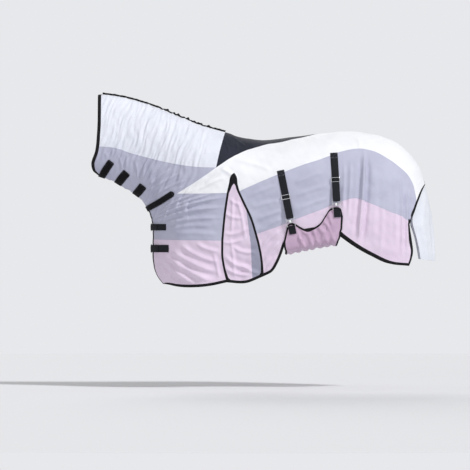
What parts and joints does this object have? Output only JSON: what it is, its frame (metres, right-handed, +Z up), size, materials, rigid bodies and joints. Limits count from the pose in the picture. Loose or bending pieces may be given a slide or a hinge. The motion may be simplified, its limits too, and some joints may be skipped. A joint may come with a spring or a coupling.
{
  "type": "fly sheet",
  "caption": "Combo fly sheet with neck cover, stretch wither insert, gusseted body, strapped belly flap and tail flap, in its worn shape.",
  "frame": {"origin": "on the horse's back just behind the withers, on the centreline, where the sheet rests", "axes": "+X towards the tail, -Y towards the horse's left (near) side, +Z up"},
  "size_m": [2.258, 0.7306, 1.2783],
  "materials": {
    "back_white_left": "fine mesh, matt",
    "back_white_right": "fine mesh, matt",
    "belly_flap": "fine mesh, matt",
    "belly_flap_binding": "folded tape, matt",
    "belly_strap_front": "woven webbing, matt",
    "belly_strap_rear": "woven webbing, matt",
    "chest_binding_left": "folded tape, matt",
    "chest_binding_right": "folded tape, matt",
    "chest_hook_lower": "polished nickel plate",
    "chest_hook_upper": "polished nickel plate",
    "chest_ring_lower": "polished nickel plate",
    "chest_ring_upper": "polished nickel plate",
    "chest_strap_lower": "woven webbing, matt",
    "chest_strap_upper": "woven webbing, matt",
    "chest_tab_lower": "woven webbing, matt",
    "chest_tab_upper": "woven webbing, matt",
    "crest_binding": "folded tape, matt",
    "flank_grey_left": "fine mesh, matt",
    "flank_grey_right": "fine mesh, matt",
    "flank_pink_left": "fine mesh, matt",
    "flank_pink_right": "fine mesh, matt",
    "flap_ring_front": "polished nickel plate",
    "flap_ring_rear": "polished nickel plate",
    "flap_tab_front": "woven webbing, matt",
    "flap_tab_rear": "woven webbing, matt",
    "gusset_binding_left": "folded tape, matt",
    "gusset_binding_right": "folded tape, matt",
    "gusset_left": "fine mesh, matt",
    "gusset_right": "fine mesh, matt",
    "hem_binding_left": "folded tape, matt",
    "hem_binding_right": "folded tape, matt",
    "neck_base_tab": "hook-and-loop tape, matt",
    "neck_grey_left": "fine mesh, matt",
    "neck_grey_right": "fine mesh, matt",
    "neck_white_left": "fine mesh, matt",
    "neck_white_right": "fine mesh, matt",
    "poll_binding": "folded tape, matt",
    "rear_binding_left": "folded tape, matt",
    "rear_binding_right": "folded tape, matt",
    "shoulder_grey_left": "fine mesh, matt",
    "shoulder_grey_right": "fine mesh, matt",
    "shoulder_pink_left": "fine mesh, matt",
    "shoulder_pink_right": "fine mesh, matt",
    "strap_hook_front": "polished nickel plate",
    "strap_hook_rear": "polished nickel plate",
    "strap_slider_front": "polished nickel plate",
    "strap_slider_rear": "polished nickel plate",
    "tail_flap": "fine mesh, matt",
    "throat_tab_1": "hook-and-loop tape, matt",
    "throat_tab_2": "hook-and-loop tape, matt",
    "throat_tab_3": "hook-and-loop tape, matt",
    "wither_stretch_insert": "stretch knit, soft sheen"
  },
  "bodies": {
    "sheet": {"back_white_left": "back_white_left", "back_white_right": "back_white_right", "chest_binding_left": "chest_binding_left", "chest_binding_right": "chest_binding_right", "chest_ring_lower": "chest_ring_lower", "chest_ring_upper": "chest_ring_upper", "chest_tab_lower": "chest_tab_lower", "chest_tab_upper": "chest_tab_upper", "crest_binding": "crest_binding", "flank_grey_left": "flank_grey_left", "flank_grey_right": "flank_grey_right", "flank_pink_left": "flank_pink_left", "flank_pink_right": "flank_pink_right", "gusset_binding_left": "gusset_binding_left", "gusset_binding_right": "gusset_binding_right", "gusset_left": "gusset_left", "gusset_right": "gusset_right", "hem_binding_left": "hem_binding_left", "hem_binding_right": "hem_binding_right", "neck_grey_left": "neck_grey_left", "neck_grey_right": "neck_grey_right", "neck_white_left": "neck_white_left", "neck_white_right": "neck_white_right", "poll_binding": "poll_binding", "rear_binding_left": "rear_binding_left", "rear_binding_right": "rear_binding_right", "shoulder_grey_left": "shoulder_grey_left", "shoulder_grey_right": "shoulder_grey_right", "shoulder_pink_left": "shoulder_pink_left", "shoulder_pink_right": "shoulder_pink_right", "wither_stretch_insert": "wither_stretch_insert"},
    "tail_flap_body": {"tail_flap": "tail_flap"},
    "belly_flap_body": {"belly_flap": "belly_flap", "belly_flap_binding": "belly_flap_binding", "flap_tab_front": "flap_tab_front", "flap_tab_rear": "flap_tab_rear", "flap_ring_front": "flap_ring_front", "flap_ring_rear": "flap_ring_rear"},
    "front_strap_body": {"belly_strap_front": "belly_strap_front", "strap_hook_front": "strap_hook_front"},
    "rear_strap_body": {"belly_strap_rear": "belly_strap_rear", "strap_hook_rear": "strap_hook_rear"},
    "front_slider_body": {"strap_slider_front": "strap_slider_front"},
    "rear_slider_body": {"strap_slider_rear": "strap_slider_rear"},
    "throat_tab_1_body": {"throat_tab_1": "throat_tab_1"},
    "throat_tab_2_body": {"throat_tab_2": "throat_tab_2"},
    "throat_tab_3_body": {"throat_tab_3": "throat_tab_3"},
    "neck_base_tab_body": {"neck_base_tab": "neck_base_tab"},
    "chest_strap_upper_body": {"chest_strap_upper": "chest_strap_upper", "chest_hook_upper": "chest_hook_upper"},
    "chest_strap_lower_body": {"chest_strap_lower": "chest_strap_lower", "chest_hook_lower": "chest_hook_lower"}
  },
  "joints": [
    {"name": "throat_tab_1_open", "type": "hinge", "parent": "sheet", "child": "throat_tab_1_body", "pos_m": [-0.96162, 0.05264, -0.2095], "axis": [0.9392, 0, -0.3434], "range_deg": [0, 95]},
    {"name": "throat_tab_2_open", "type": "hinge", "parent": "sheet", "child": "throat_tab_2_body", "pos_m": [-0.85731, 0.04901, -0.26117], "axis": [0.8632, 0, -0.5049], "range_deg": [0, 95]},
    {"name": "throat_tab_3_open", "type": "hinge", "parent": "sheet", "child": "throat_tab_3_body", "pos_m": [-0.74222, 0.0495, -0.33901], "axis": [0.7926, 0, -0.6097], "range_deg": [0, 95]},
    {"name": "neck_base_tab_open", "type": "hinge", "parent": "sheet", "child": "neck_base_tab_body", "pos_m": [-0.64078, 0.09719, -0.42182], "axis": [0.6, 0, -0.8], "range_deg": [0, 100]},
    {"name": "chest_strap_upper_open", "type": "hinge", "parent": "sheet", "child": "chest_strap_upper_body", "pos_m": [-0.54903, 0.15329, -0.56], "axis": [0, 0, -1], "range_deg": [0, 110]},
    {"name": "chest_strap_lower_open", "type": "hinge", "parent": "sheet", "child": "chest_strap_lower_body", "pos_m": [-0.53182, 0.16074, -0.7], "axis": [0, 0, -1], "range_deg": [0, 110]},
    {"name": "belly_flap_drop", "type": "hinge", "parent": "sheet", "child": "belly_flap_body", "pos_m": [0.399, 0.34802, -0.566], "axis": [1, 0, 0], "range_deg": [0, 30]},
    {"name": "front_strap_swing", "type": "hinge", "parent": "sheet", "child": "front_strap_body", "pos_m": [0.19839, -0.32632, -0.18472], "axis": [-1, 0, 0], "range_deg": [0, 70]},
    {"name": "rear_strap_swing", "type": "hinge", "parent": "sheet", "child": "rear_strap_body", "pos_m": [0.54587, -0.29619, -0.07571], "axis": [-1, 0, 0], "range_deg": [0, 70]},
    {"name": "tail_flap_lift", "type": "hinge", "parent": "sheet", "child": "tail_flap_body", "pos_m": [1.149, 0, -0.278], "axis": [0, -1, 0], "range_deg": [0, 90]},
    {"name": "front_slider_slide", "type": "slide", "parent": "front_strap_body", "child": "front_slider_body", "axis": [0.1903, -0.0955, -0.9771], "range_m": [-0.012, 0.036]},
    {"name": "rear_slider_slide", "type": "slide", "parent": "rear_strap_body", "child": "rear_slider_body", "axis": [0.0545, -0.097, -0.9938], "range_m": [-0.012, 0.036]}
  ],
  "couplings": [
    {"joint": "front_strap_swing", "follows": "belly_flap_drop", "ratio": 2.3},
    {"joint": "rear_strap_swing", "follows": "belly_flap_drop", "ratio": 2.3}
  ]
}
